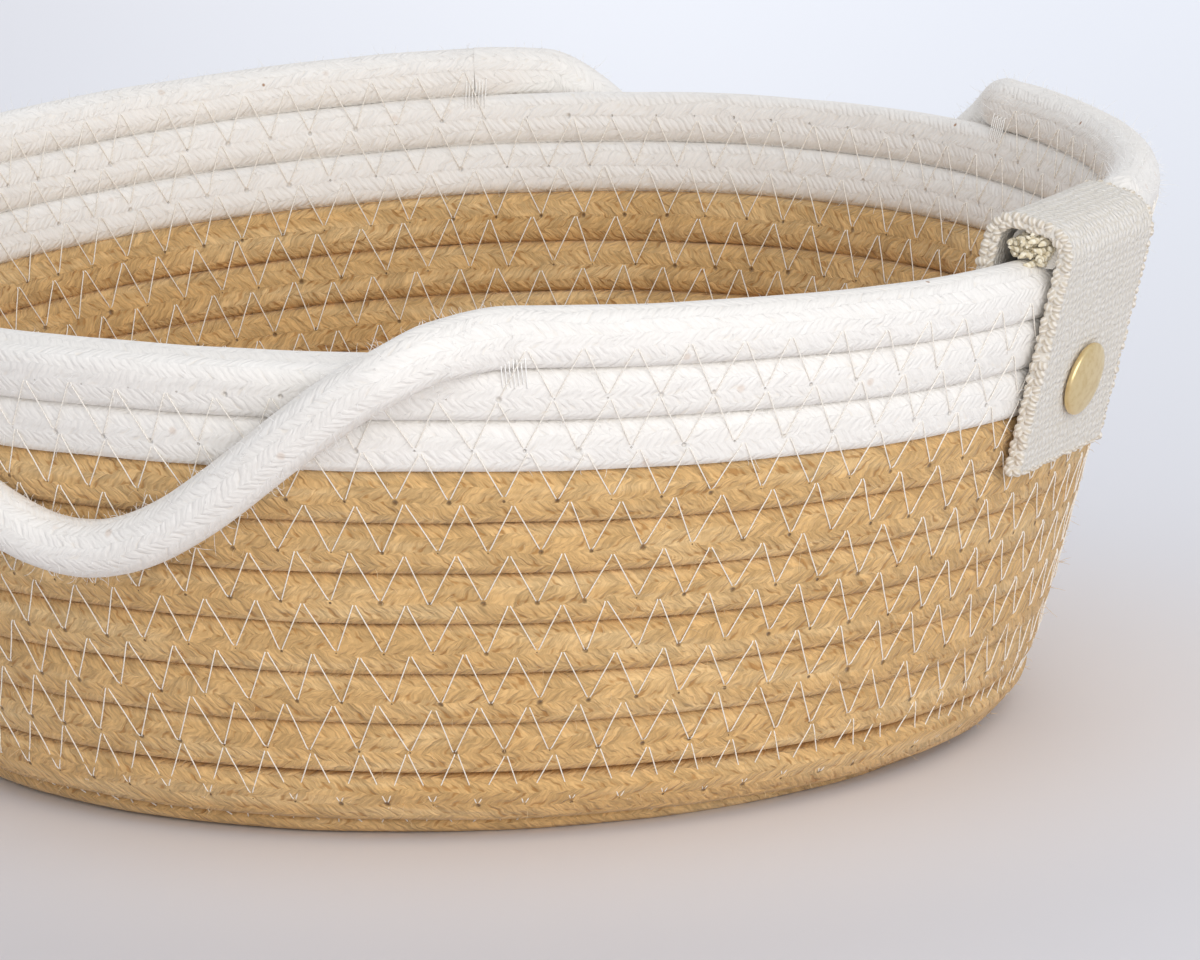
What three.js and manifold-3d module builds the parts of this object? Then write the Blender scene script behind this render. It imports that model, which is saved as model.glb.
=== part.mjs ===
// A coiled rope basket: one tan rope winds out from the middle of the base and up the wall, a white
// rope carries on from it for the last rounds, and its top round leaves the wall twice as a handle.
// Millimetres, +Z up. The origin is the middle of the base, on the surface that the basket stands on.

import * as THREE from 'three';
import { mergeVertices } from 'three/addons/utils/BufferGeometryUtils.js';
import Module from 'manifold-3d';

const wasm = await Module();
wasm.setup();

// Rope
const ropePitch = 6.6; // from one round's middle to the next
const roundGap = 0.6; // clearance between neighbouring rounds
const foldSqueeze = 0.15; // share of the rope's thickness that the tight fold at the base presses in
const stepsPerLoop = 24;
const ropeSides = 6;

// Base and wall, measured at the middle of the rope
const baseCornerRadius = 68; // where the base's level meets the line of the wall
const baseFoldRadius = 7.3;
const wallLean = 15.2; // degrees outwards from upright
const tanWallLength = 48.6; // up the slanted wall, from the base corner to the join of the two ropes
const whiteRoundCount = 3;

// Handles, in degrees round the basket from the tab, going the way the rope climbs
const frontArc = 57; // from the tab to the nearer root of each handle
const backArc = 114; // rim between the two handles, on the side away from the tab
const backArcTurn = 7; // how far that rim sits round from straight opposite the tab
const handleDrop = 25.9; // down the wall from the handle's roots to its lowest point
const rollLength = 16; // rim length in which the handle rolls out over the round below it
const levelLength = 9; // rim length from a root before the handle starts to droop
const droopPower = 1.55; // above 1 the droop starts gently
const rootPinch = 0.25; // share of the thickness that the stitches at a root press in
const handleSteps = 24;

// Rope end and its start in the middle of the base
const endOverlap = 10; // how far the white rope's end runs on past the middle of the tab
const firstRoundRadius = 7.1;
const hookLength = 1.9; // straight bit between the tan rope's tight first turn and its first round

// Folded webbing tab and its rivet
const tabWidth = 25;
const tabThickness = 1.8;
const tabDrop = 29.4; // from the middle of the rope end that it wraps down to its cut edges
const foldHeight = 1.05; // inside of the fold over the middle of the rope's place: it presses the rope
const foldCorner = 2.2; // inside, where each leaf turns over the rim
const rivetCapRadius = 4.75;
const rivetCapRim = 0.6;
const rivetCapRise = 0.8;
const rivetBackRadius = 4;
const rivetBackThickness = 0.9;
const rivetEdge = 0.35; // chamfer round its two discs
const shankRadius = 1.5;
const rivetOffset = 1.3; // how far the rivet sits above the middle of the join

const seatGap = 0.3; // between pieces that touch

const deg = THREE.MathUtils.degToRad;
const turnFromDegrees = (angle) => angle / 360;

// The rope's section is a hexagon: flats face the neighbouring rounds, corners face in and out.
const halfWidth = (ropePitch - roundGap) / 2;
const cornerReach = halfWidth / Math.cos(Math.PI / ropeSides);
const standFlat = 0.1 * 2 * cornerReach; // cut off the underside, a tenth of the rope's thickness
const floorHeight = cornerReach - standFlat;
const hookRadius = firstRoundRadius / 2; // brings the rope's first bit over the basket's axis

// The coil follows a sheet: level over the base, round the fold, then straight up the leaning wall.
// Lengths along it start at the basket's axis.
const lean = deg(wallLean);
const foldAngle = Math.PI / 2 - lean;
const foldTangent = baseFoldRadius * Math.tan(foldAngle / 2);
const foldStart = baseCornerRadius - foldTangent;
const foldEnd = foldStart + baseFoldRadius * foldAngle;
const joinLength = foldEnd + tanWallLength - foldTangent;
const wallTurns = Math.ceil((joinLength - foldStart) / ropePitch);

// Turns are counted from the join, which lies under the tab; the rope climbs clockwise from above.
const tabBearing = -Math.PI / 2;
const stepAngle = (2 * Math.PI) / stepsPerLoop;
const bearingAt = (turn) => tabBearing - 2 * Math.PI * turn;
const lengthAt = (turn) => joinLength + ropePitch * turn;

const rimTurn = whiteRoundCount - 1;
const leftRoots = [turnFromDegrees(frontArc), turnFromDegrees(180 - backArc / 2 + backArcTurn)];
const rightRoots = [turnFromDegrees(180 + backArc / 2 + backArcTurn), turnFromDegrees(360 - frontArc)];
const leftHandle = leftRoots.map((turn) => rimTurn + turn);
const rightHandle = rightRoots.map((turn) => rimTurn + turn);

// Point of the sheet at a length along it, with its direction of travel
function sheetAt(length) {
  if (length <= foldStart) {
    return { radius: length, height: floorHeight, out: 1, up: 0 };
  }
  if (length < foldEnd) {
    const angle = (length - foldStart) / baseFoldRadius;
    return {
      radius: foldStart + baseFoldRadius * Math.sin(angle),
      height: floorHeight + baseFoldRadius * (1 - Math.cos(angle)),
      out: Math.cos(angle),
      up: Math.sin(angle),
    };
  }
  const slant = foldTangent + length - foldEnd;
  return {
    radius: baseCornerRadius + slant * Math.sin(lean),
    height: floorHeight + slant * Math.cos(lean),
    out: Math.sin(lean),
    up: Math.cos(lean),
  };
}

// The plan of every round is the same 24-sided figure: full radius at its corners, less between them.
function planFactor(bearing) {
  const fromTab = bearing - tabBearing;
  const offMiddle = fromTab - Math.round(fromTab / stepAngle) * stepAngle;
  return Math.cos(stepAngle / 2) / Math.cos(offMiddle);
}

// Place beside the sheet's middle: aside along the sheet, proud of its outer face
function besideSheet(bearing, length, aside, proud, factor = planFactor(bearing)) {
  const sheet = sheetAt(length);
  const radius = (sheet.radius + aside * sheet.out + proud * sheet.up) * factor;
  const height = sheet.height + aside * sheet.up - proud * sheet.out;
  return new THREE.Vector3(radius * Math.cos(bearing), radius * Math.sin(bearing), height);
}

// Corners of the section, aside and proud. Pressing moves its upper flat towards its lower one.
function sectionCorners(scale, pressedShare = 1) {
  const corners = [];
  for (let side = 0; side < ropeSides; side += 1) {
    const angle = Math.PI / 2 + (side * 2 * Math.PI) / ropeSides;
    const overLowerFlat = halfWidth + cornerReach * Math.cos(angle);
    const aside = pressedShare * overLowerFlat - halfWidth;
    corners.push([scale * aside, scale * cornerReach * Math.sin(angle)]);
  }
  return corners;
}

// The rope is pressed thinner where the sheet folds, fading out over a round on either side.
function squeezeAt(length) {
  const middle = (foldStart + foldEnd) / 2;
  const fade = 1.6 * ropePitch;
  const reach = (foldEnd - foldStart) / 2 + fade;
  const away = Math.min(Math.abs(length - middle) / reach, 1);
  return 1 - foldSqueeze * (1 - away ** 4) ** 2;
}

// Ring of the rope at a turn, moved along its straight side where it is an end
function ringAt(turn, shift = 0, pressedShare = 1) {
  const bearing = bearingAt(turn);
  const length = lengthAt(turn);
  const travel = new THREE.Vector3(Math.sin(bearing), -Math.cos(bearing), 0);
  return sectionCorners(squeezeAt(length), pressedShare).map(([aside, proud]) =>
    besideSheet(bearing, length, aside, proud).addScaledVector(travel, shift)
  );
}

// Rings at the corners of the plan between two turns. An end keeps clear of them, so that the rope
// runs straight into it.
const endStraight = 0.7 * ropePitch;
const endClear = endStraight / (2 * Math.PI * baseCornerRadius);

function ringsBetween(firstTurn, lastTurn, firstClear = endClear, pressedShare = 1) {
  const rings = [];
  const first = Math.ceil((firstTurn + firstClear) * stepsPerLoop - 0.5);
  const last = Math.floor((lastTurn - endClear) * stepsPerLoop - 0.5);
  for (let step = first; step <= last; step += 1) {
    rings.push(ringAt((step + 0.5) / stepsPerLoop, 0, pressedShare));
  }
  return rings;
}

// Closed tube through rings of the same number of points, with a flat cap at each end
function ropeThrough(rings) {
  const sides = rings[0].length;
  const positions = rings.flat().flatMap((point) => point.toArray());
  const index = [];
  for (let ring = 0; ring + 1 < rings.length; ring += 1) {
    for (let side = 0; side < sides; side += 1) {
      const here = ring * sides + side;
      const beside = ring * sides + ((side + 1) % sides);
      index.push(here, here + sides, beside, beside, here + sides, beside + sides);
    }
  }
  const lastRing = (rings.length - 1) * sides;
  for (let side = 1; side + 1 < sides; side += 1) {
    index.push(0, side, side + 1);
    index.push(lastRing, lastRing + side + 1, lastRing + side);
  }
  const geometry = new THREE.BufferGeometry();
  geometry.setAttribute('position', new THREE.Float32BufferAttribute(positions, 3));
  geometry.setIndex(index);
  return geometry;
}

function solidOf(geometry) {
  const bare = geometry.clone();
  bare.deleteAttribute('normal');
  bare.deleteAttribute('uv');
  const merged = mergeVertices(bare, 1e-5);
  const vertProperties = new Float32Array(merged.attributes.position.array);
  const triVerts = new Uint32Array(merged.index.array);
  return new wasm.Manifold(new wasm.Mesh({ numProp: 3, vertProperties, triVerts }));
}

function geometryOf(solid) {
  const mesh = solid.getMesh();
  const geometry = new THREE.BufferGeometry();
  geometry.setAttribute('position', new THREE.BufferAttribute(mesh.vertProperties, 3));
  geometry.setIndex(new THREE.BufferAttribute(mesh.triVerts, 1));
  geometry.computeVertexNormals();
  return geometry;
}

// The basket stands on its lowest rounds, which are pressed flat underneath.
function cutFlatBelow(geometry) {
  const size = 4 * baseCornerRadius;
  const under = new THREE.BoxGeometry(size, size, size).translate(0, 0, -size / 2);
  return geometryOf(solidOf(geometry).subtract(solidOf(under)));
}

// Least distance between the rounds of one rope, on points along the edges of its rings
function leastGap(rings) {
  const rows = rings.map((ring) =>
    ring.flatMap((point, side) => {
      const next = ring[(side + 1) % ring.length];
      return [0, 0.25, 0.5, 0.75].map((part) => point.clone().lerp(next, part));
    })
  );
  let least = Infinity;
  rows.forEach((row, place) => {
    const otherRounds = rows.slice(place + Math.ceil(stepsPerLoop / 2));
    const near = otherRounds.filter((other) => other[0].distanceTo(row[0]) < 3 * ropePitch);
    for (const a of row) {
      for (const b of near.flat()) {
        least = Math.min(least, a.distanceTo(b));
      }
    }
  });
  return least;
}

function reportGap(name, rings) {
  console.log(`${name}: least gap between rounds ${leastGap(rings).toFixed(2)} mm`);
}

// The tan rope's first bit: a straight length, then a tight turn, which the first round goes round
function hookRings(startTurn) {
  const bearing = bearingAt(startTurn);
  const outwards = new THREE.Vector3(Math.cos(bearing), Math.sin(bearing), 0);
  const travel = new THREE.Vector3(Math.sin(bearing), -Math.cos(bearing), 0);
  const centre = firstRoundRadius - hookRadius;
  const besideRadius = firstRoundRadius + ropePitch / 4; // of the first round, where the end meets it
  const endReach = besideRadius - halfWidth - roundGap;
  const ringPlaces = [
    { out: centre - hookRadius, on: endReach, heading: Math.PI },
    { out: centre - hookRadius, on: -hookLength, heading: Math.PI },
  ];
  const turnSteps = 8;
  for (let step = 1; step <= turnSteps; step += 1) {
    const angle = Math.PI * (1 - step / turnSteps);
    ringPlaces.push({
      out: centre + hookRadius * Math.cos(angle),
      on: -hookLength - hookRadius * Math.sin(angle),
      heading: angle,
    });
  }
  return ringPlaces.map(({ out, on, heading }) => {
    const middle = outwards.clone().multiplyScalar(out).addScaledVector(travel, on);
    middle.z = floorHeight;
    const aside = outwards.clone().multiplyScalar(Math.cos(heading));
    aside.addScaledVector(travel, -Math.sin(heading));
    return sectionCorners(1).map(([across, below]) =>
      middle.clone().addScaledVector(aside, across).add(new THREE.Vector3(0, 0, -below))
    );
  });
}

const baseSplit = -wallTurns; // turn at which the base ends and the wall begins, on the level part

function baseCoil() {
  const startTurn = (firstRoundRadius - joinLength) / ropePitch;
  const rings = [
    ...hookRings(startTurn),
    ...ringsBetween(startTurn, baseSplit, 0),
    ringAt(baseSplit, -seatGap / 2),
  ];
  reportGap('base coil', rings);
  return cutFlatBelow(ropeThrough(rings));
}

function tanWallCoil() {
  const rings = [
    ringAt(baseSplit, seatGap / 2),
    ...ringsBetween(baseSplit, 0),
    ringAt(0, -shankRadius - seatGap),
  ];
  reportGap('tan wall coil', rings);
  return cutFlatBelow(ropeThrough(rings));
}

// A handle turns about the line through the middles of its two roots.
function hingeOf(handle) {
  const [first, last] = handle.map((turn) => besideSheet(bearingAt(turn), lengthAt(turn), 0, 0));
  return { first, last, axis: last.clone().sub(first).normalize() };
}

// Slides a ring's points along the rope into the plane that is square to a hinge.
function ontoHingeFace(ring, travel, root, axis, clear) {
  const face = root.clone().addScaledVector(axis, clear);
  return ring.map((point) => {
    const ahead = face.clone().sub(point).dot(axis) / travel.dot(axis);
    return point.clone().addScaledVector(travel, ahead);
  });
}

// End of a fixed length of rim where a handle begins or ends
function rimEnd(turn, root, axis, clear) {
  const bearing = bearingAt(turn);
  const middle = bearing - tabBearing;
  const side = tabBearing + Math.round(middle / stepAngle) * stepAngle;
  const travel = new THREE.Vector3(Math.sin(side), -Math.cos(side), 0);
  return ontoHingeFace(ringAt(turn), travel, root, axis, clear);
}

function whiteWallCoil() {
  const hinge = hingeOf(leftHandle);
  const rings = [
    ringAt(0, shankRadius + seatGap),
    ...ringsBetween(0, leftHandle[0]),
    rimEnd(leftHandle[0], hinge.first, hinge.axis, -seatGap / 2),
  ];
  reportGap('white wall coil', rings);
  return ropeThrough(rings);
}

function rimBackArc() {
  const left = hingeOf(leftHandle);
  const right = hingeOf(rightHandle);
  return ropeThrough([
    rimEnd(leftHandle[1], left.last, left.axis, seatGap / 2),
    ...ringsBetween(leftHandle[1], rightHandle[0]),
    rimEnd(rightHandle[0], right.first, right.axis, -seatGap / 2),
  ]);
}

// The rope's end goes under the tab's fold, which presses it down to what its inside leaves.
function rimEndArc() {
  const hinge = hingeOf(rightHandle);
  const tabEdge = tabWidth / 2 + seatGap;
  const pressedTurn = whiteRoundCount - tabEdge / (2 * Math.PI * sheetAt(lengthAt(whiteRoundCount)).radius);
  const pressedShare = Math.min((halfWidth + foldHeight - seatGap) / (2 * halfWidth), 1);
  return ropeThrough([
    rimEnd(rightHandle[1], hinge.last, hinge.axis, seatGap / 2),
    ...ringsBetween(rightHandle[1], pressedTurn),
    ringAt(pressedTurn, 0, pressedShare),
    ...ringsBetween(pressedTurn, whiteRoundCount, 0, pressedShare),
    ringAt(whiteRoundCount, endOverlap, pressedShare),
  ]);
}

// Middle of a handle's rope as it hangs: it rolls out over the round below and droops down the wall.
function handlePoint(handle, share) {
  const turn = handle[0] + (handle[1] - handle[0]) * share;
  const bearing = bearingAt(turn);
  const radius = sheetAt(lengthAt(turn)).radius;
  const spanHalf = Math.PI * (handle[1] - handle[0]) * radius;
  const fromRoot = Math.min(share, 1 - share) * 2 * spanHalf;
  const rolled = (1 - Math.cos(Math.PI * Math.min(fromRoot / rollLength, 1))) / 2;
  const proud = (2 * cornerReach + seatGap) * rolled;
  const drooping = Math.max(fromRoot - levelLength, 0) / (spanHalf - levelLength);
  const aside = -handleDrop * Math.sin((drooping * Math.PI) / 2) ** droopPower;
  const factor = planFactor(bearing);
  return besideSheet(bearing, lengthAt(turn), aside, proud, factor + (1 - factor) * rolled);
}

function handleRope(handle) {
  const hinge = hingeOf(handle);
  const nearby = 0.1 / handleSteps;
  const rings = [];
  for (let step = 0; step <= handleSteps; step += 1) {
    const share = step / handleSteps;
    const middle = handlePoint(handle, share);
    const before = handlePoint(handle, Math.max(share - nearby, 0));
    const after = handlePoint(handle, Math.min(share + nearby, 1));
    const travel = after.sub(before).normalize();
    const bearing = bearingAt(handle[0] + (handle[1] - handle[0]) * share);
    const face = new THREE.Vector3(Math.cos(bearing), Math.sin(bearing), -Math.tan(lean));
    const proud = face.addScaledVector(travel, -face.dot(travel)).normalize();
    const aside = travel.clone().cross(proud);
    const fromRoot = middle.distanceTo(share < 0.5 ? hinge.first : hinge.last);
    const scale = 1 - rootPinch * (1 - Math.min(fromRoot / (2 * cornerReach), 1));
    const ring = sectionCorners(scale).map(([across, out]) =>
      middle.clone().addScaledVector(aside, across).addScaledVector(proud, out)
    );
    rings.push({ ring, travel });
  }
  const first = rings[0];
  const last = rings[handleSteps];
  first.ring = ontoHingeFace(first.ring, first.travel, hinge.first, hinge.axis, seatGap / 2);
  last.ring = ontoHingeFace(last.ring, last.travel, hinge.last, hinge.axis, -seatGap / 2);
  return ropeThrough(rings.map(({ ring }) => ring));
}

// The tab lies flat on the straight side of the plan in front of the join. In its frame, X points out
// of the wall, Y up the wall, and the middle of the wrapped rope end is the origin.
const tabFactor = planFactor(tabBearing);
const tabLean = Math.atan(Math.tan(lean) * tabFactor);
const outerSeat = cornerReach + seatGap;
const outerFace = outerSeat + tabThickness;

// Inside, the wall is hollow like a barrel, so the flat leaf stands off it by what the corners of the
// plan come in behind its edges.
const leafFootRadius = sheetAt(lengthAt(whiteRoundCount) - tabDrop).radius - cornerReach;
const pastCorner = Math.max(tabWidth / 2 - leafFootRadius * Math.sin(stepAngle / 2), 0);
const innerSeat = outerSeat + pastCorner * Math.sin(stepAngle);
const innerFace = innerSeat + tabThickness;

function intoTabPlace(geometry) {
  const outwards = new THREE.Vector3(0, -Math.cos(tabLean), -Math.sin(tabLean));
  const upwards = new THREE.Vector3(0, -Math.sin(tabLean), Math.cos(tabLean));
  const across = outwards.clone().cross(upwards);
  const place = new THREE.Matrix4().makeBasis(outwards, upwards, across);
  place.setPosition(besideSheet(tabBearing, lengthAt(whiteRoundCount), 0, 0));
  return geometry.applyMatrix4(place);
}

const rivetHeight = rivetOffset - whiteRoundCount * ropePitch;

function rimTab() {
  const outerCorner = outerSeat - foldCorner;
  const innerCorner = foldCorner - innerSeat;
  const cornerHeight = foldHeight - foldCorner;
  const outsideRadius = foldCorner + tabThickness;
  const outline = new THREE.Shape();
  outline.moveTo(outerFace, -tabDrop);
  outline.absarc(outerCorner, cornerHeight, outsideRadius, 0, Math.PI / 2, false);
  outline.absarc(innerCorner, cornerHeight, outsideRadius, Math.PI / 2, Math.PI, false);
  outline.lineTo(-innerFace, -tabDrop);
  outline.lineTo(-innerSeat, -tabDrop);
  outline.absarc(innerCorner, cornerHeight, foldCorner, Math.PI, Math.PI / 2, true);
  outline.absarc(outerCorner, cornerHeight, foldCorner, Math.PI / 2, 0, true);
  outline.lineTo(outerSeat, -tabDrop);
  const strap = new THREE.ExtrudeGeometry(outline, {
    depth: tabWidth,
    bevelEnabled: false,
    curveSegments: 6,
  }).translate(0, 0, -tabWidth / 2);
  const hole = new THREE.CylinderGeometry(shankRadius + seatGap, shankRadius + seatGap, 4 * outerFace, 16);
  hole.rotateZ(Math.PI / 2).translate(0, rivetHeight, 0);
  return intoTabPlace(geometryOf(solidOf(strap).subtract(solidOf(hole))));
}

// Turned piece on the rivet's axis, from radius and distance out of the wall's middle
function turnedOnRivet(profile) {
  const points = profile.map(([radius, out]) => new THREE.Vector2(radius, out));
  const geometry = new THREE.LatheGeometry(points, 24);
  return intoTabPlace(geometry.rotateZ(-Math.PI / 2).translate(0, rivetHeight, 0));
}

function rivetCap() {
  const seat = outerFace + seatGap;
  const profile = [[0, seat], [rivetCapRadius - rivetEdge, seat], [rivetCapRadius, seat + rivetEdge]];
  const domeSteps = 5;
  for (let step = 0; step <= domeSteps; step += 1) {
    const angle = (step / domeSteps) * (Math.PI / 2);
    const radius = step === domeSteps ? 0 : rivetCapRadius * Math.cos(angle);
    profile.push([radius, seat + rivetCapRim + rivetCapRise * Math.sin(angle)]);
  }
  return turnedOnRivet(profile);
}

function rivetStud() {
  const seat = -innerFace - seatGap;
  const back = seat - rivetBackThickness;
  return turnedOnRivet([
    [0, back],
    [rivetBackRadius - rivetEdge, back],
    [rivetBackRadius, back + rivetEdge],
    [rivetBackRadius, seat],
    [shankRadius, seat],
    [shankRadius, outerFace],
    [0, outerFace],
  ]);
}

const tanRope = { color: 0xcda877, roughness: 0.9, metalness: 0 };
const whiteRope = { color: 0xf3efe6, roughness: 0.92, metalness: 0 };
const webbing = { color: 0xe2dccf, roughness: 0.95, metalness: 0 };
const brass = { color: 0xb89b62, roughness: 0.35, metalness: 1 };

const basket = new THREE.Group();

function addPiece(name, geometry, look) {
  const mesh = new THREE.Mesh(geometry, new THREE.MeshStandardMaterial(look));
  mesh.name = name;
  basket.add(mesh);
}

addPiece('base_coil', baseCoil(), tanRope);
addPiece('tan_wall_coil', tanWallCoil(), tanRope);
addPiece('white_wall_coil', whiteWallCoil(), whiteRope);
addPiece('rim_back_arc', rimBackArc(), whiteRope);
addPiece('rim_end_arc', rimEndArc(), whiteRope);
addPiece('handle_left', handleRope(leftHandle), whiteRope);
addPiece('handle_right', handleRope(rightHandle), whiteRope);
addPiece('rim_tab', rimTab(), webbing);
addPiece('rivet_cap', rivetCap(), brass);
addPiece('rivet_stud', rivetStud(), brass);

export default basket;
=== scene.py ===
# %% [markdown]
# # A rope basket
#
# Two braided cotton ropes, wound and sewn to themselves with a zigzag thread: a tan one for the base
# and most of the wall, and a white one for the last rounds and the two handles. A folded strap of
# webbing, held by one rivet, hides the rope's end.
#
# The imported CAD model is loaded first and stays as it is. The pieces below stand for its nodes, with
# the form and the finish of the real ones, and add the thread and the fibres.

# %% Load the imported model
import math
from functools import partial

import bpy
import numpy as np
from mathutils import Matrix, Vector


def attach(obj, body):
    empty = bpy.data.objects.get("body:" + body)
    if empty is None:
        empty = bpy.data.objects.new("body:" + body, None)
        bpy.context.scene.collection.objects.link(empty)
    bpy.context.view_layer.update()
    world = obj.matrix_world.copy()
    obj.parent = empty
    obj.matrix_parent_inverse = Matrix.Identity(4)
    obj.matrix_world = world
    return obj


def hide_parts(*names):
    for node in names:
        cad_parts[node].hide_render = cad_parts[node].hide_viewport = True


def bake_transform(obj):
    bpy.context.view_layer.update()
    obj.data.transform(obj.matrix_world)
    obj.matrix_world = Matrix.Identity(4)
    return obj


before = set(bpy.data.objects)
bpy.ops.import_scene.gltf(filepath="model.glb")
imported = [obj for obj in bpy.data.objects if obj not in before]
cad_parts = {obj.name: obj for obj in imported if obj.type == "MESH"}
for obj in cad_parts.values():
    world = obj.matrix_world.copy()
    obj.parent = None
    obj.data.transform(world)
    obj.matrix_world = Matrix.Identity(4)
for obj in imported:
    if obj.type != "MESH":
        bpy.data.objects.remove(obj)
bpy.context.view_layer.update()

mm = 0.001
full_turn = 2 * math.pi

# %% [markdown]
# ## The camera
#
# The far side of the rim is only slightly smaller than the near one, which a long lens from 0.98 m
# gives. It was aimed by fitting the rope's seams.

# %% Camera
camera_place = Vector((-0.83483, -0.45413, 0.22987))
camera_right = Vector((0.45629, -0.88945, -0.02627))
camera_up = Vector((0.19615, 0.07173, 0.97795))
camera_aim = Vector((0.86795, 0.45137, -0.20719))

bpy.ops.object.camera_add(location=camera_place)
camera = bpy.context.object
camera.name = "camera"
camera.rotation_euler = Matrix((camera_right, camera_up, -camera_aim)).transposed().to_euler()
camera.data.sensor_width = 36
camera.data.lens = 230.02
camera.data.clip_end = 20
bpy.context.scene.camera = camera
print("camera", round(camera_place.length, 3), "m from the basket's foot")

# %% [markdown]
# ## Where the rope lies
#
# All the rounds lie on one sheet: level over the base, round a tight fold, then up the leaning wall.
# A length along that sheet says how far from the middle a bit of rope is, and each turn adds one
# pitch. Turns are counted from the ropes' join under the tab, clockwise from above.

# %% The sheet and the coil on it
rope_pitch = 6.6 * mm
base_corner_radius = 68 * mm
fold_radius = 7.3 * mm
wall_lean = math.radians(15.2)
tan_wall_length = 48.6 * mm
floor_height = 2.771 * mm
plan_share = 0.9965

fold_angle = math.pi / 2 - wall_lean
fold_tangent = fold_radius * math.tan(fold_angle / 2)
fold_start = base_corner_radius - fold_tangent
fold_end = fold_start + fold_radius * fold_angle
join_length = fold_end + tan_wall_length - fold_tangent
tab_bearing = -math.pi / 2

# How far the rim has risen: evenly, and as (cosine, sine) of the bearing once and twice in a turn
rise_even = -0.30 * mm
rise_waves = ((1, 0.26 * mm, 0.16 * mm), (2, 1.47 * mm, 0.34 * mm))
rise_power = 1.3
settled_height = 68 * mm


def rows(*values):
    """One row of these values for each point"""
    return np.stack(values, -1)


def polar(radius, bearing, height):
    return rows(radius * np.cos(bearing), radius * np.sin(bearing), height)


def sheet_at(length):
    """Radius, height and direction (out, up) of the sheet at a length along it"""
    length = np.asarray(length, float)
    angle = np.clip((length - fold_start) / fold_radius, 0, fold_angle)
    slant = np.maximum(length - fold_end, 0)
    radius = np.minimum(length, fold_start) + fold_radius * np.sin(angle) + slant * math.sin(wall_lean)
    height = floor_height + fold_radius * (1 - np.cos(angle)) + slant * math.cos(wall_lean)
    return radius, height, np.cos(angle), np.sin(angle)


def bearing_at(turn):
    return tab_bearing - full_turn * np.asarray(turn, float)


def length_at(turn):
    return join_length + rope_pitch * np.asarray(turn, float)


def settled(points):
    """The soft wall as it has settled in the photograph, not quite level at the rim"""
    x, y, height = np.moveaxis(points, -1, 0)
    bearing = np.arctan2(y, x)
    rise = rise_even
    for times, cosine_share, sine_share in rise_waves:
        rise = rise + cosine_share * np.cos(times * bearing) + sine_share * np.sin(times * bearing)
    return rows(x, y, height + rise * (np.maximum(height, 0) / settled_height) ** rise_power)


def beside_sheet(bearing, length, aside=0.0, proud=0.0):
    """Points beside the sheet's middle: aside along it, and proud of its outer face"""
    radius, height, out, up = sheet_at(length)
    reach = (radius + aside * out + proud * up) * plan_share
    return settled(polar(reach, bearing, height + aside * up - proud * out))


def spread_at(bearing, length):
    """How far the rounds have drawn apart as the wall settled, for the rope to fill its seams"""
    above = beside_sheet(bearing, length + rope_pitch / 2)
    below = beside_sheet(bearing, length - rope_pitch / 2)
    return np.maximum(np.linalg.norm(above - below, axis=-1) / rope_pitch, 1)


def sheet_directions(bearing, length):
    """Directions along the sheet (aside) and out of its outer face (proud)"""
    _, _, out, up = sheet_at(length)
    return polar(out, bearing, up), polar(up, bearing, -out)


def around_from(bearing):
    """Level direction in which the rope runs at a bearing"""
    return np.array([math.sin(bearing), -math.cos(bearing), 0])


print("rim radius", round(float(sheet_at(length_at(3))[0]) / mm, 1), "mm")

# %% [markdown]
# ## The rope's section
#
# A loose rope is round, and one sewn between its neighbours is pressed nearly square. Both sections
# are points an even distance apart, so that the braid has the same width all round the rope.

# %% Two sections
rope_sides = 24
sewn_half_width = 3.38 * mm
sewn_half_thickness = 3.34 * mm
free_half_width = 3.42 * mm


def running_total(steps):
    return np.r_[0, np.cumsum(steps)]


def section(power):
    """Points (proud, aside) of a rounded square of that power, evenly spaced, from straight out"""
    angle = np.linspace(0, full_turn, 4001)
    outline = [np.sign(wave) * np.abs(wave) ** (2 / power) for wave in (np.cos(angle), np.sin(angle))]
    steps = np.hypot(*(np.diff(values) for values in outline))
    way = running_total(steps) / steps.sum()
    places = np.arange(rope_sides) / rope_sides
    return rows(*(np.interp(places, way, values) for values in outline))


sewn_section = section(4.4)
free_section = section(2.0)

# %% [markdown]
# ## A straight rope, and how it is laid
#
# A rope is modelled straight: a circle, extruded one step, repeated by an Array modifier and closed at
# both ends. A Curve modifier couldn't press it flat where the basket stands, so each ring is laid in
# its place by number. Each point keeps how far along and round the rope it is, for the braid.

# %% Modelling helpers
def start_piece(name, primitive, **settings):
    """A new piece from one of Blender's primitives, alone in the selection"""
    bpy.ops.object.select_all(action="DESELECT")
    primitive(**settings)
    bpy.context.object.name = name
    return bpy.context.object


def switch_to(mode):
    bpy.ops.object.mode_set(mode=mode)


def edit_all():
    switch_to("EDIT")
    bpy.ops.mesh.select_all(action="SELECT")


def extrude(x, y, z):
    bpy.ops.mesh.extrude_region_move(TRANSFORM_OT_translate={"value": (x, y, z)})


def close_and_orient():
    """Closes the open ends of the active mesh and turns its faces outwards"""
    edit_all()
    bpy.ops.mesh.fill_holes(sides=0)
    bpy.ops.mesh.normals_make_consistent(inside=False)
    switch_to("OBJECT")


def apply_modifier(piece, kind, **settings):
    modifier = piece.modifiers.new(kind, kind)
    for name, value in settings.items():
        setattr(modifier, name, value)
    bpy.ops.object.modifier_apply(modifier=modifier.name)


def shade_smooth(sharp_angle):
    """Shades the active piece smooth, except at edges sharper than that many degrees"""
    bpy.ops.object.shade_smooth_by_angle(angle=math.radians(sharp_angle))


def vectors_of(items, name="co"):
    values = np.empty(len(items) * 3, np.float32)
    items.foreach_get(name, values)
    return values.reshape(-1, 3).astype(float)


def set_points(mesh, points):
    mesh.vertices.foreach_set("co", points.astype(np.float32).ravel())
    mesh.update()


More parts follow.
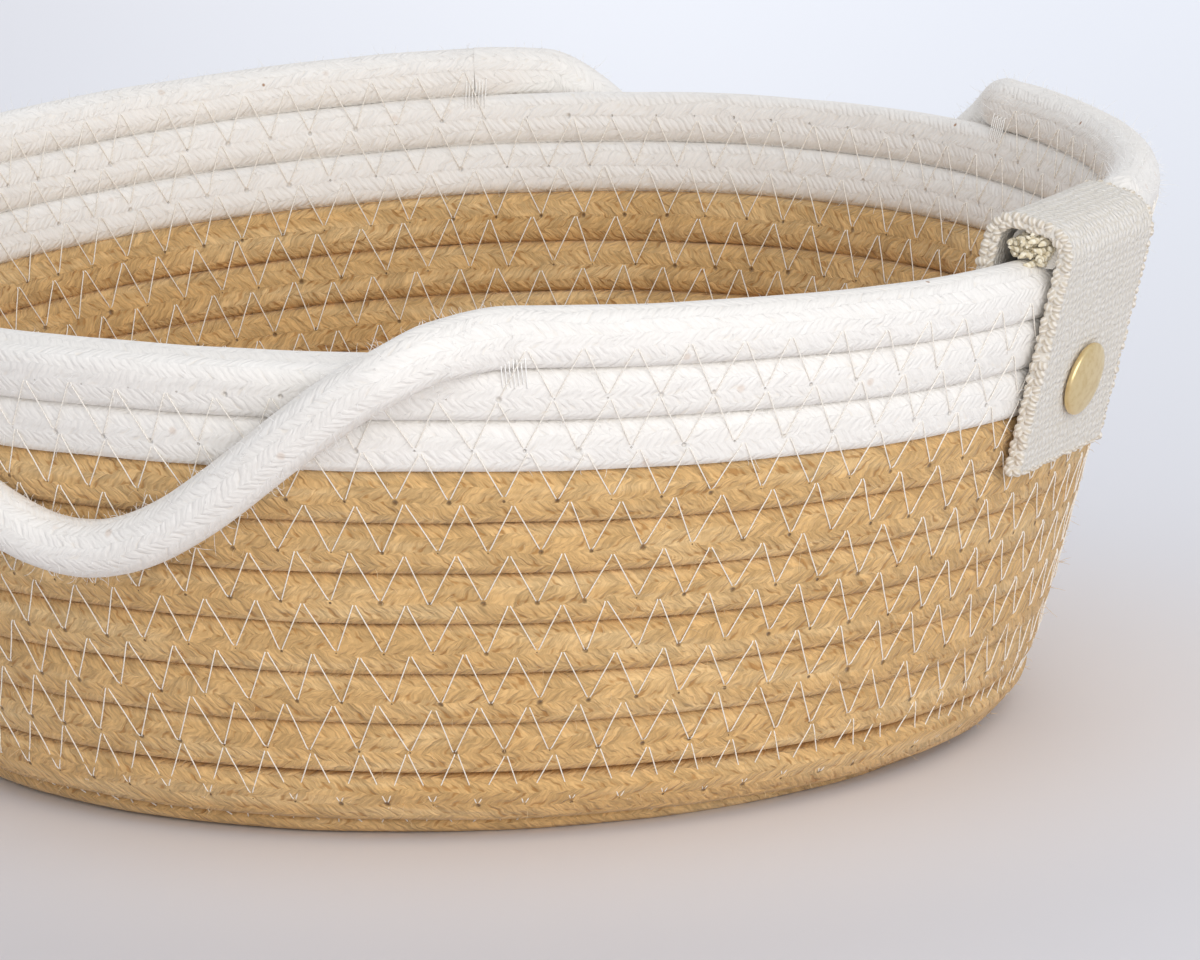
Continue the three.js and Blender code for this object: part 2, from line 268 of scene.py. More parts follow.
def set_point_vector(mesh, name, values):
    attribute = mesh.attributes.new(name, "FLOAT_VECTOR", "POINT")
    attribute.data.foreach_set("vector", np.asarray(values, np.float32).ravel())


# %% Straight rope
def straight_rope(name, rings):
    rope = start_piece(name, bpy.ops.mesh.primitive_circle_add, vertices=rope_sides, radius=1)
    rope.data.name = name
    edit_all()
    extrude(0, 0, 1)
    switch_to("OBJECT")
    apply_modifier(
        rope, "ARRAY", count=rings - 1, use_relative_offset=False, use_constant_offset=True,
        constant_offset_displace=(0, 0, 1), use_merge_vertices=True, merge_threshold=0.01,
    )
    close_and_orient()
    return rope


def lay_rope(rope, middle, aside, proud, half, along, stitch, free=0.0, pressed=1.0, crowned=False):
    """Moves a straight rope's rings to their middles. half is (width, thickness) for each ring, free
    its share of the round section, pressed the share of its width that it keeps, and crowned whether
    its upper side is round."""
    free, pressed, crowned = (np.broadcast_to(value, len(middle)) for value in (free, pressed, crowned))
    points = vectors_of(rope.data.vertices)
    ring = np.rint(points[:, 2]).astype(int)
    angle = np.arctan2(points[:, 1], points[:, 0])
    side = np.rint(angle / full_turn * rope_sides).astype(int) % rope_sides
    share = np.where((np.sin(angle) > 0) & crowned[ring], 1.0, free[ring])[:, None]
    place = sewn_section[side] * (1 - share) + free_section[side] * share
    width, thickness = half[ring].T
    across = (place[:, 1] * width + width) * pressed[ring] - width
    out = place[:, 0] * thickness
    laid = middle[ring] + aside[ring] * across[:, None] + proud[ring] * out[:, None]
    laid[:, 2] = np.maximum(laid[:, 2], 0)
    set_points(rope.data, laid)
    set_point_vector(rope.data, "lay", rows(along[ring] / mm, np.cos(angle), np.sin(angle)))
    set_point_vector(rope.data, "stitch", stitch[ring])
    shade_smooth(50)
    return rope


# %% [markdown]
# ## Finishes
#
# Cotton is matt, so what shows is the braid's relief, the gaps between its strands with painted shade
# in them, and how the dye varies. The relief is a shader pattern, because there are over seventy thousand
# strands.

# %% Small helpers for node trees
def paint(red, green, blue):
    """Colour from the eight-bit values of a screen"""
    channels = [value / 255 for value in (red, green, blue)]
    linear = [c / 12.92 if c <= 0.04045 else ((c + 0.055) / 1.055) ** 2.4 for c in channels]
    return (*linear, 1)


def feed(value, socket):
    """Gives an input a constant, or joins it to another node's output"""
    if isinstance(value, bpy.types.NodeSocket):
        socket.id_data.links.new(value, socket)
    else:
        socket.default_value = value


def node_beside(kind, *values):
    """A new node in the tree of the first joined value"""
    tree = next(value.id_data for value in values if isinstance(value, bpy.types.NodeSocket))
    return tree.nodes.new("ShaderNode" + kind)


def add_node(kind, *values, **settings):
    """A node with its settings, and with values for its first inputs"""
    node = node_beside(kind, *values)
    for name, setting in settings.items():
        setattr(node, name, setting)
    for value, socket in zip(values, node.inputs):
        feed(value, socket)
    return node


def calc(operation, *values):
    return add_node("Math", *values, operation=operation).outputs[0]


add, subtract, multiply, divide, multiply_add = (
    partial(calc, operation) for operation in ("ADD", "SUBTRACT", "MULTIPLY", "DIVIDE", "MULTIPLY_ADD")
)


def ramp(value, low, high, out_low=0.0, out_high=1.0):
    """Smooth step of a value from low to high"""
    node = add_node("MapRange", value, low, high, out_low, out_high, interpolation_type="SMOOTHSTEP")
    return node.outputs["Result"]


def vector(x, y, z):
    return add_node("CombineXYZ", x, y, z).outputs[0]


def split(value):
    return add_node("SeparateXYZ", value).outputs


def noise(place, scale, detail=2.0, roughness=0.5):
    node = add_node("TexNoise", place)
    for name, value in (("Scale", scale), ("Detail", detail), ("Roughness", roughness)):
        node.inputs[name].default_value = value
    return node.outputs["Fac"]


def chance(place):
    """A random number for each whole place"""
    return add_node("TexWhiteNoise", place).outputs["Value"]


def blend_colour(share, first, second, kind="MIX"):
    """Mixes two colours, each joined or as the eight-bit values of a screen"""
    first, second = (paint(*colour) if isinstance(colour, tuple) else colour for colour in (first, second))
    node = node_beside("Mix", share, first, second)
    node.data_type = "RGBA"
    node.blend_type = kind
    for name, value in (("Factor", share), ("A", first), ("B", second)):
        feed(value, node.inputs[name])
    return node.outputs["Result"]


def attribute(tree, name):
    node = tree.nodes.new("ShaderNodeAttribute")
    node.attribute_name = name
    return node.outputs["Vector"]


def object_place(tree):
    return tree.nodes.new("ShaderNodeTexCoord").outputs["Object"]


def new_group(name, inputs, outputs):
    """A node group, with what comes in and where its results go; None stands for a vector"""
    group = bpy.data.node_groups.new(name, "ShaderNodeTree")
    for label, value in inputs.items():
        kind = "NodeSocketVector" if value is None else "NodeSocketFloat"
        socket = group.interface.new_socket(label, in_out="INPUT", socket_type=kind)
        if value is not None:
            socket.default_value = value
    for label in outputs:
        group.interface.new_socket(label, in_out="OUTPUT", socket_type="NodeSocketFloat")
    start = group.nodes.new("NodeGroupInput")
    end = group.nodes.new("NodeGroupOutput")
    return group, start.outputs, end.inputs


def use_group(group, lay, **values):
    """A node group on a rope's own places"""
    node = node_beside("Group", lay)
    node.node_tree = group
    feed(lay, node.inputs["Lay"])
    for label, value in values.items():
        feed(value, node.inputs[label])
    return node.outputs


def new_material(name, constants):
    """A material and its shader, with the shader's constants"""
    material = bpy.data.materials.new(name)
    material.use_nodes = True
    shader = material.node_tree.nodes["Principled BSDF"]
    for label, value in constants.items():
        shader.inputs[label].default_value = value
    return material, shader


def dress(shader, colour, height, depth):
    """Gives a shader its colour, and relief in which a height of 1 stands out by the depth"""
    feed(colour, shader.inputs["Base Color"])
    bump = node_beside("Bump", height)
    bump.inputs["Distance"].default_value = depth
    feed(height, bump.inputs["Height"])
    feed(bump.outputs[0], shader.inputs["Normal"])


# %% [markdown]
# ### The braid
#
# A braid shows columns of slanting strands, leaning one way in one column and the other way in the
# next. The group takes the place on the rope (how far along in millimetres, and the angle as a cosine
# and a sine) and works out the column and the strand.

# %% Node group: braid
braid, here, result = new_group(
    "braid",
    {"Lay": None, "Columns": 12.0, "Strand": 1.25, "Slant": 1.6, "Fineness": 0.3, "Softness": 0.3},
    ("Height", "GapShade", "Tone", "Yarn"),
)
along, cosine, sine = split(here["Lay"])
ring_place = vector(multiply(along, 0.16), cosine, sine)
wander = subtract(noise(ring_place, 0.9, 1.0), 0.5)
quiver = subtract(noise(ring_place, 4.0, 1.0), 0.5)
around = add(divide(calc("ARCTAN2", sine, cosine), full_turn), 1.0)
around = multiply_add(around, here["Columns"], multiply(wander, 1.1))
around = multiply_add(quiver, 0.5, around)
column = calc("FLOOR", around)
across_column = subtract(calc("FRACT", around), 0.5)
other_way = calc("FRACT", multiply(column, 0.5))
lean = multiply(multiply_add(other_way, -4.0, 1.0), here["Slant"])
count = multiply_add(across_column, lean, divide(along, here["Strand"]))
count = add(count, multiply_add(wander, 0.9, multiply(column, 0.5)))
row = multiply_add(column, 2.0, across_column)
petals = add_node("TexVoronoi", vector(count, row, 0.0), voronoi_dimensions="2D", feature="SMOOTH_F1")
feed(here["Softness"], petals.inputs["Smoothness"])
petals.inputs["Scale"].default_value = 1.0
petals.inputs["Randomness"].default_value = 0.42
from_middle = petals.outputs["Distance"]
plump = multiply_add(multiply(from_middle, from_middle), -1.9, 1.0)
yarn_place = vector(multiply(count, 2.9), multiply(across_column, 1.6), column)
yarn = ramp(noise(yarn_place, 1.0, 2.0, 0.6), 0.3, 0.7)
tone = chance(vector(calc("FLOOR", count), column, 0.0))
height = multiply_add(subtract(tone, 0.5), 0.25, plump)
feed(multiply_add(yarn, here["Fineness"], height), result["Height"])
# The gap mask is painted shade: it is 1 in the crevices between strands, where a petal's relief is low.
feed(ramp(plump, 0.5, 0.1), result["GapShade"])
feed(tone, result["Tone"])
feed(yarn, result["Yarn"])
print("braid group:", len(braid.nodes), "nodes")

# %% [markdown]
# ### Needle holes
#
# The zigzag thread goes through the rope at the middle of each round, and each stitch pulls a small
# dimple there, with painted shade in it. The rope carries the count of stitches, so the dimple falls where
# one dives in.
# The group also gives the seams between rounds, for painted shade there.

# %% Node group: needle holes
needle_holes, here, result = new_group("needle holes", {"Lay": None, "Stitch": None}, ("Hole", "Seam"))
_, _, sine = split(here["Lay"])
stitch_count, period, _ = split(here["Stitch"])
off_crown = multiply(sine, 3.6)
half_count = multiply_add(stitch_count, 0.5, 0.5)
along_off = multiply(subtract(calc("FRACT", half_count), 0.5), period)
distance = calc("SQRT", add(multiply(along_off, along_off), multiply(off_crown, off_crown)))
hole_chance = chance(vector(calc("FLOOR", half_count), 0.0, 0.0))
hole_size = ramp(hole_chance, 0.2, 1.0, 0.1, 0.46)
feed(ramp(distance, hole_size, 0.05), result["Hole"])
# The seam mask is painted shade along the seams between rounds, on the rope's flanks.
feed(ramp(calc("ABSOLUTE", sine), 0.86, 0.99), result["Seam"])
print("needle hole group:", len(needle_holes.nodes), "nodes")

# %% [markdown]
# ### Rope cotton
#
# Both ropes have a strand's colour, lighter where the dye took less and darker in the gaps, in the
# seams between rounds and in the needle holes, all three painted shade, and the undyed one has bits of seed
# husk.

# %% Rope materials
def rope_material(name, colours, strand, columns, fineness, softness, seam_shade, patch, swing, flecks, relief):
    """Seam and patch are shares of the gap shade colour, painted shade in the seams between rounds, and of
    the light colour where the dye took less, and swing is how far the strands' tones lie apart"""
    strand_colour, light_colour, gap_shade_colour, hole_shade_colour = colours
    constants = {"Roughness": 0.92, "Specular IOR Level": 0.25, "Sheen Weight": 0.12, "Sheen Roughness": 0.5}
    material, shader = new_material(name, constants)
    tree = material.node_tree
    lay = attribute(tree, "lay")
    pattern = use_group(braid, lay, Strand=strand, Columns=columns, Fineness=fineness, Softness=softness)
    holes = use_group(needle_holes, lay, Stitch=attribute(tree, "stitch"))
    along, cosine, sine = split(lay)
    patches = noise(vector(multiply(along, 0.03), cosine, sine), 1.3, 3.0, 0.6)
    colour = blend_colour(ramp(patches, 0.42, 0.72, 0.0, patch), strand_colour, light_colour)
    tone = multiply_add(subtract(pattern["Tone"], 0.5), swing, 1.0)
    tone = multiply_add(subtract(pattern["Yarn"], 0.55), 1.2 * swing, tone)
    colour = blend_colour(1.0, colour, vector(tone, tone, tone), "MULTIPLY")
    # Painted shade in the crevices between strands
    colour = blend_colour(multiply(pattern["GapShade"], 0.65), colour, gap_shade_colour)
    # Painted shade in the seams between rounds
    colour = blend_colour(multiply(holes["Seam"], seam_shade), colour, gap_shade_colour)
    # Painted shade in the needle holes
    colour = blend_colour(multiply(holes["Hole"], 0.75), colour, hole_shade_colour)
    if flecks:
        seeds = add_node("TexVoronoi", object_place(tree))
        seeds.inputs["Scale"].default_value = 420
        pick = chance(seeds.outputs["Color"])
        chosen = ramp(pick, 0.992 - flecks, 0.993 - flecks)
        husk = multiply(ramp(seeds.outputs["Distance"], 0.15, 0.05), chosen)
        colour = blend_colour(husk, colour, (158, 112, 72))
        faint = ramp(pick, 0.02 + 2 * flecks, 0.019 + 2 * flecks)
        smudge = multiply(ramp(seeds.outputs["Distance"], 0.3, 0.1, 0.0, 0.3), faint)
        colour = blend_colour(smudge, colour, (196, 158, 124))
    dress(shader, colour, multiply_add(holes["Hole"], -1.6, pattern["Height"]), relief)
    return material


tan_cotton = rope_material(
    "tan rope", ((207, 168, 113), (226, 196, 147), (160, 110, 54), (100, 66, 36)),
    strand=1.25, columns=12.0, fineness=0.36, softness=0.3, seam_shade=0.85, patch=0.6, swing=0.26, flecks=0.0,
    relief=0.22 * mm,
)
white_cotton = rope_material(
    "white rope", ((237, 233, 227), (244, 241, 236), (234, 226, 214), (230, 221, 208)),
    strand=0.95, columns=14.0, fineness=0.14, softness=0.7, seam_shade=0.1, patch=0.5, swing=0.04, flecks=0.012,
    relief=0.16 * mm,
)
print("rope materials made")

# %% [markdown]
# ## The zigzag seams
#
# One machine seam follows the coil from the base to the rim. Its needle holes lie above and below it
# in turn, about 6 mm apart in each row. They are counted once, with a small error for each, so that
# thread, holes and both faces of the wall agree.

# %% Needle places along the whole seam
seam_first_radius = 15 * mm
hole_error_along = 0.22 * mm
hole_error_across = 0.18 * mm

stitch_random = np.random.default_rng(41)
seam_turns = np.linspace((seam_first_radius - join_length) / rope_pitch - 0.5, 2.0, 60001)
seam_round = full_turn * sheet_at(length_at(seam_turns + 0.5))[0] * plan_share
stitch_period = np.interp(seam_turns, [-16, -8, -6.5, 0, 2], [5.6, 5.4, 5.4, 6.2, 6.2]) * mm
holes_per_turn = 2 * seam_round / stitch_period
hole_count = running_total((holes_per_turn[1:] + holes_per_turn[:-1]) / 2 * np.diff(seam_turns))
hole_numbers = np.arange(int(hole_count[-1]))
hole_turns = np.interp(hole_numbers, hole_count, seam_turns)
slips = stitch_random.normal(0, hole_error_along, len(hole_turns))
hole_turns += slips / np.interp(hole_turns, seam_turns, seam_round)
hole_across = np.where(hole_numbers % 2 == 0, -1, 1) * rope_pitch * 0.47
hole_across = hole_across + stitch_random.normal(0, hole_error_across, len(hole_turns))
print(len(hole_turns), "needle holes in the seam")


def stitch_values(turns):
    """Stitches counted in the seam above each ring, and their period in mm"""
    period = np.interp(turns, seam_turns, stitch_period) / mm
    return rows(np.interp(turns, hole_turns, hole_numbers), period, 0 * period)


def unsewn(rings, period):
    """The same where no stitch goes through"""
    return np.tile([1.0, period, 0.0], (rings, 1))


# %% [markdown]
# ## The wound rope
#
# Each wound piece is one straight rope, laid along its turns. Its place and its thickness wander by
# less than a tenth of a millimetre, and it is pressed thinner where the base folds into the wall.

# %% Winding
ring_step = 1.0 * mm


def slow_wander(along, wavelength, seed):
    """Smooth random number about zero along a rope"""
    random = np.random.default_rng(seed)
    total = np.zeros_like(along)
    for factor in (1.0, 1.73, 2.91):
        total += np.sin(full_turn * along * factor / wavelength + random.uniform(0, full_turn)) / factor
    return total / 2


def squeeze_at(length):
    """Share of its thickness that the rope keeps where the sheet folds"""
    middle = (fold_start + fold_end) / 2
    reach = (fold_end - fold_start) / 2 + 1.6 * rope_pitch
    away = np.minimum(np.abs(length - middle) / reach, 1)
    return 1 - 0.12 * (1 - away**4) ** 2


def turns_between(first, last):
    """Turns a ring's step apart, and how far along the rope each is"""
    fine = np.linspace(first, last, 20001)
    radius = sheet_at(length_at(fine))[0]
    way = running_total(math.pi * (radius[1:] + radius[:-1]) * np.diff(fine))
    along = np.linspace(0, way[-1], int(way[-1] / ring_step) + 2)
    return np.interp(along, way, fine), along


def wound_rope(name, first, last, start_along, seed, pressed_at=np.ones_like):
    turns, along = turns_between(first, last)
    along = along + start_along
    bearing, length = bearing_at(turns), length_at(turns)
    middle = beside_sheet(bearing, length + 0.08 * mm * slow_wander(along, 37 * mm, seed))
    thickness = sewn_half_thickness * squeeze_at(length) * (1 + 0.018 * slow_wander(along, 23 * mm, seed + 1))
    half = rows(sewn_half_width * spread_at(bearing, length), thickness)
    rope = straight_rope(name, len(turns))
    lay_rope(
        rope, middle, *sheet_directions(bearing, length), half, along, stitch_values(turns),
        pressed=pressed_at(turns), crowned=turns > 2,
    )
    print(name, len(turns), "rings,", round(along[-1] - along[0], 2), "m")
    return rope


def finish_piece(piece, material, slot_name, *nodes, body="basket"):
    piece.data.materials.clear()
    piece.data.materials.append(material)
    if body:
        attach(piece, body)
    if nodes:
        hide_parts(*nodes)
    return piece


# %% Tan rope: wall, then base
tan_wall = wound_rope("tan_wall_rope", -8, 0, 2.0, seed=5)
finish_piece(tan_wall, tan_cotton, "tan_rope", "tan_wall_coil")

# %% [markdown]
# The base starts with a hook: a straight bit of rope across the middle, a tight turn, and then the
# first round goes round that. The cut end has spread and fills the room beside it.

# %% Base
first_round_radius = 7.1 * mm
hook_radius = first_round_radius / 2
hook_length = 1.9 * mm
hook_tip = 5.2 * mm
hook_step = 0.7 * mm
spread_width = 1.7 * mm


def base_rope():
    start_turn = (first_round_radius - join_length) / rope_pitch
    turns, along = turns_between(start_turn, -8)
    start = float(bearing_at(start_turn))
    outwards = polar(1, start, 0)
    travel = around_from(start)
    centre = first_round_radius - hook_radius
    straight = hook_tip + hook_length
    lead = np.arange(0, straight + math.pi * hook_radius + hook_length, hook_step)
    spread = np.interp(lead, [0, 3 * mm, straight, straight + 1.4 * hook_radius], [0.5, 1, 1, 0])
    heading = np.clip(math.pi - (lead - straight) / hook_radius, 0, math.pi)[:, None]
    past = np.maximum(lead - straight - math.pi * hook_radius, 0) + np.maximum(straight - lead, 0)
    out = centre + hook_radius * np.cos(heading)
    on = past[:, None] - hook_length - hook_radius * np.sin(heading)
    lead_aside = outwards * np.cos(heading) - travel * np.sin(heading)
    lead_middle = outwards * out + travel * on + [0, 0, floor_height]
    lead_middle = lead_middle + lead_aside * spread_width * spread[:, None]
    bearing, length = bearing_at(turns), length_at(turns)
    aside, proud = sheet_directions(bearing, length)
    middle = np.r_[lead_middle, beside_sheet(bearing, length)]
    aside = np.r_[lead_aside, aside]
    proud = np.r_[np.tile([0, 0, -1.0], (len(lead), 1)), proud]
    along = np.r_[lead, along + lead[-1] + ring_step]
    thickness = sewn_half_thickness * np.r_[np.ones(len(lead)), squeeze_at(length)]
    coil_width = sewn_half_width * spread_at(bearing, length)
    width = np.r_[sewn_half_width + spread_width * spread, coil_width]
    stitch = np.r_[unsewn(len(lead), 5.6), stitch_values(turns)]
    rope = straight_rope("base_rope", len(middle))
    return lay_rope(rope, middle, aside, proud, rows(width, thickness), along, stitch)


base = base_rope()
finish_piece(base, tan_cotton, "tan_rope", "base_coil")
print("base", len(base.data.polygons), "faces")

# %% [markdown]
# ## White rope: wall, rim and handles
#
# The white rope goes a little more than twice round before it leaves the wall as the first handle.
# Both arcs of the rim are sewn down as the wall is, and the end is pressed under the tab's fold.

# %% White wall and rim
left_handle = 2 + np.array([57, 130]) / 360
right_handle = 2 + np.array([244, 303]) / 360
white_start_along = 7.0
rim_round = full_turn * float(sheet_at(length_at(2.5))[0])
tab_width = 25 * mm
rope_end_overlap = 10 * mm


def under_fold(turns):
    """Share of its width that the rope keeps, less under the tab's fold"""
    from_tab = (3 - turns) * rim_round - tab_width / 2
    return 0.66 + 0.34 * np.clip(from_tab / (4 * mm), 0, 1)


end_turn = 3 + rope_end_overlap / rim_round
white_wall = wound_rope("white_wall_rope", 0, left_handle[0], white_start_along, seed=15)
finish_piece(white_wall, white_cotton, "white_rope", "white_wall_coil")
rim_back = wound_rope("rim_back_rope", left_handle[1], right_handle[0], white_start_along + 1.4, seed=25)
finish_piece(rim_back, white_cotton, "white_rope", "rim_back_arc")
rim_end = wound_rope("rim_end_rope", right_handle[1], end_turn, white_start_along + 1.8, 35, under_fold)
finish_piece(rim_end, white_cotton, "white_rope", "rim_end_arc")

# %% [markdown]
# A handle leaves the rim at one root, rolls outwards over the round below it, droops down the wall
# and comes back the same way, round where nothing presses it. A real rope twists at its roots when
# lifted.

# %% Handles
handle_drop = 25.9 * mm
roll_length = 16 * mm
level_length = 9 * mm
droop_power = 1.55
clear_of_wall = 7.23 * mm
bend_rings = 6


def unit(vectors):
    return vectors / np.linalg.norm(vectors, axis=-1, keepdims=True)


def handle_middle(roots, share):
    """The rope's middle, bearing and share rolled out, at a share of the handle's way"""
    turn = roots[0] + (roots[1] - roots[0]) * share
    half_span = math.pi * (roots[1] - roots[0]) * sheet_at(length_at(turn))[0]
    from_root = np.minimum(share, 1 - share) * 2 * half_span
    rolled = (1 - np.cos(math.pi * np.minimum(from_root / roll_length, 1))) / 2
    drooping = np.maximum(from_root - level_length, 0) / (half_span - level_length)
    aside = -handle_drop * np.sin(drooping * math.pi / 2) ** droop_power
    middle = beside_sheet(bearing_at(turn), length_at(turn), aside, clear_of_wall * rolled)
    return middle, bearing_at(turn), rolled


def handle_half(name, roots, half_number, start_along):
    fine = np.linspace(0.5 * half_number, 0.5 + 0.5 * half_number, 2001)
    way = running_total(np.linalg.norm(np.diff(handle_middle(roots, fine)[0], axis=0), axis=1))
    along = np.linspace(0, way[-1], int(way[-1] / ring_step) + 2)
    share = np.interp(along, way, fine)
    middle, bearing, rolled = handle_middle(roots, share)
    near = 0.002
    ahead, behind = (handle_middle(roots, np.clip(share + step, 0, 1))[0] for step in (near, -near))
    travel = unit(ahead - behind)
    face = polar(1, bearing, np.full_like(bearing, -math.tan(wall_lean)))
    proud = unit(face - travel * np.sum(face * travel, -1, keepdims=True))
    aside = np.cross(travel, proud)
    sewn_width = sewn_half_width * spread_at(bearing, length_at(roots.mean()) + 0 * bearing)
    width = sewn_width + (free_half_width - sewn_width) * rolled
    width = width * (1 + 0.012 * slow_wander(along, 19 * mm, seed=51))
    rope = straight_rope(name, len(along))
    stitch = unsewn(len(along), 6.2)
    half = rows(width, width)
    lay_rope(rope, middle, aside, proud, half, along + start_along, stitch, free=rolled, crowned=True)
    return rope, middle, way[-1]


handle_halves = []
for side_name, roots, first_along in (("left", left_handle, 10.0), ("right", right_handle, 11.0)):
    for half_number, end_name in enumerate(("near", "far")):
        name = f"{side_name}_handle_{end_name}_half"
        rope, middle, length = handle_half(name, roots, half_number, first_along)
        first_along += length
        way_in = middle if half_number == 0 else middle[::-1]
        finish_piece(rope, white_cotton, "white_rope", f"handle_{side_name}", body=None)
        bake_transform(rope)
        handle_halves.append((rope, side_name, way_in[0], way_in[bend_rings]))
    print(side_name, "handle", round(2 * length / mm), "mm of rope")

# %% [markdown]
# ## The thread
#
# Between two needle holes the thread lies straight across the seam. One such leg is a thin bar with
# its ends bent down into the rope, and a copy is laid between each pair of holes, on both faces.

# %% A bar, and copies of it
def bar(sides, radius, stations, bends=0.0, widths=1.0):
    """Points and faces of a bar from X 0 to 1, bent aside and widened at its stations"""
    bends, widths = (np.broadcast_to(value, len(stations)) for value in (bends, widths))
    circle = {"vertices": sides, "radius": radius, "rotation": (0, math.pi / 2, 0)}
    piece = start_piece("bar", bpy.ops.mesh.primitive_circle_add, **circle)
    bpy.ops.object.transform_apply(rotation=True)
    edit_all()
    for step in np.diff(stations):
        extrude(step, 0, 0)
    close_and_orient()
    points = vectors_of(piece.data.vertices)
    points[:, 1:] *= np.interp(points[:, 0], stations, widths)[:, None]
    points[:, 2] += np.interp(points[:, 0], stations, bends) * mm
    faces = [tuple(face.vertices) for face in piece.data.polygons]
    bpy.data.objects.remove(piece)
    return points, faces


def lay_copies(name, model, starts, ends, normals):
    """One mesh with a copy of a bar from each start to its end, its bends along the normals"""
    model_points, model_faces = model
    count, size = len(starts), len(model_points)
    travel = ends - starts
    side = unit(np.cross(normals, travel))
    up = unit(np.cross(travel, side))
    points = starts[:, None] + model_points @ np.stack([travel, side, up], 1)
    points[:, :, 2] = np.maximum(points[:, :, 2], 0)
    offsets = range(0, count * size, size)
    faces = [[corner + offset for corner in face] for offset in offsets for face in model_faces]
    mesh = bpy.data.meshes.new(name)
    mesh.from_pydata(points.reshape(-1, 3), [], faces)
    reach = np.abs(model_points[:, 1]).max()
    lay = np.tile(model_points / [mm, reach, reach], (count, 1))
    lay[:, 0] *= np.repeat(np.linalg.norm(travel, axis=1), size)
    set_point_vector(mesh, "lay", lay)
    mesh.shade_smooth()
    piece = bpy.data.objects.new(name, mesh)
    bpy.context.scene.collection.objects.link(piece)
    print(name, count, "copies,", len(faces), "faces")
    return piece


thread_radius = 0.08 * mm
leg_stations = (0.0, 0.025, 0.08, 0.5, 0.92, 0.975, 1.0)
leg_dips = (-0.45, -0.1, 0.02, -0.05, 0.02, -0.1, -0.45)
thread_leg = bar(5, thread_radius, leg_stations, leg_dips)

# %% Twisted yarn material
def twisted_yarn(name, groove_shade, light, pitch, relief):
    """Plied yarn, with painted shade in the grooves of its twist, and its twist's pitch in mm"""
    material, shader = new_material(name, {"Roughness": 0.75, "Sheen Weight": 0.1})
    along, aside, _ = split(attribute(material.node_tree, "lay"))
    turned = multiply_add(along, full_turn / pitch, multiply(aside, 1.6))
    ply = ramp(calc("SINE", turned), -1.0, 1.0)
    # The darker colour is painted shade, laid where the twist's relief is low.
    dress(shader, blend_colour(ply, groove_shade, light), ply, relief)
    return material


thread_cotton = twisted_yarn("sewing thread", (240, 232, 220), (251, 246, 237), 0.57, 0.03 * mm)

# %% Lay the zigzag on both faces
thread_lift = 0.04 * mm
twin_gap = 0.08 * mm
wall_seams_from = -7.45


def seam_points(turns, across, proud):
    return beside_sheet(bearing_at(turns), length_at(turns + 0.5) + across, 0.0, proud)


def seam_normals(turns, face):
    return sheet_directions(bearing_at(turns), length_at(turns + 0.5))[1] * face


def zigzag(name, first_turn, last_turn, face):
    """Legs between the needle holes from one turn to another; face is 1 outside and -1 inside"""
    chosen = np.flatnonzero((hole_turns[:-1] >= first_turn) & (hole_turns[1:] < last_turn))
    start = hole_turns[chosen]
    loose = np.zeros(len(start), bool)
    for first, last in (left_handle - 2, right_handle - 2):
        loose |= (start > 1) & (start % 1 >= first) & (start % 1 <= last)
    chosen, start = chosen[~loose], start[~loose]
    inset = twin_gap / np.interp(start, seam_turns, seam_round)
    out = face * (sewn_half_thickness * squeeze_at(length_at(start + 0.5)) + thread_radius + thread_lift)
    starts = seam_points(start + inset, hole_across[chosen], out)
    ends = seam_points(hole_turns[chosen + 1] - inset, hole_across[chosen + 1], out)
    piece = lay_copies(name, thread_leg, starts, ends, seam_normals(start, face))
    finish_piece(piece, thread_cotton, "white_rope")


zigzag("thread_outside_wall", wall_seams_from, 2, 1)
zigzag("thread_inside_wall", wall_seams_from, 2, -1)
zigzag("thread_base_inside", -20, wall_seams_from, -1)
zigzag("thread_base_underside", -20, wall_seams_from, 1)

# %% [markdown]
# Each handle root is held by a bar tack: close, short stitches across the seam under it.

# %% Bar tacks
tack_width = 2.8 * mm
tack_stitches = 7
tack_slant = 0.3 * mm
tack_error = 0.2 * mm


def bar_tacks():
    starts, ends, normals = [], [], []
    for root, way in zip((*left_handle, *right_handle), (-1, 1, -1, 1)):
        turns = root - 1 + way * np.linspace(-0.5, 0.5, tack_stitches) * tack_width / rim_round
        for face in (1, -1):
            across = 0.3 * rope_pitch + stitch_random.normal(0, tack_error, tack_stitches)
            out = face * (sewn_half_thickness + 0.4 * thread_radius)
            starts.append(seam_points(turns, -across, out))
            ends.append(seam_points(turns + tack_slant / rim_round, across, out))
            normals.append(seam_normals(turns, face))
    return lay_copies("bar_tacks", thread_leg, *map(np.concatenate, (starts, ends, normals)))


tack_cotton = twisted_yarn("tack thread", (250, 248, 243), (255, 253, 250), 0.57, 0.02 * mm)
finish_piece(bar_tacks(), tack_cotton, "white_rope")

# %% [markdown]
# ## The webbing tab
#
# A 25 mm strap of cotton webbing goes over the rim. A narrow row of faces at one cut end is extruded
# step by step up, over the fold and down, then given its thickness.

# %% Tab
tab_thickness = 1.8 * mm
tab_drop = 29.4 * mm
fold_height = 1.05 * mm
fold_corner = 2.2 * mm
corner_reach = 3.464 * mm
seat_gap = 0.3 * mm
outer_seat = corner_reach + seat_gap
inner_seat = 4.25 * mm
flat_factor = math.cos(math.radians(7.5))
tab_columns = 24
tab_lean = math.atan(math.tan(wall_lean) * flat_factor)
tab_out = np.array([0, -math.cos(tab_lean), -math.sin(tab_lean)])
tab_up = np.array([0, -math.sin(tab_lean), math.cos(tab_lean)])
tab_across = np.cross(tab_out, tab_up)
rim_radius_at_tab, rim_height_at_tab, _, _ = sheet_at(length_at(3))
tab_origin = np.array([0, -float(rim_radius_at_tab) * flat_factor, float(rim_height_at_tab)])


def in_tab_place(points):
    """From (out, up, across) in the tab's own frame to the basket's"""
    return settled(tab_origin + np.asarray(points, float) @ np.stack([tab_out, tab_up, tab_across]))


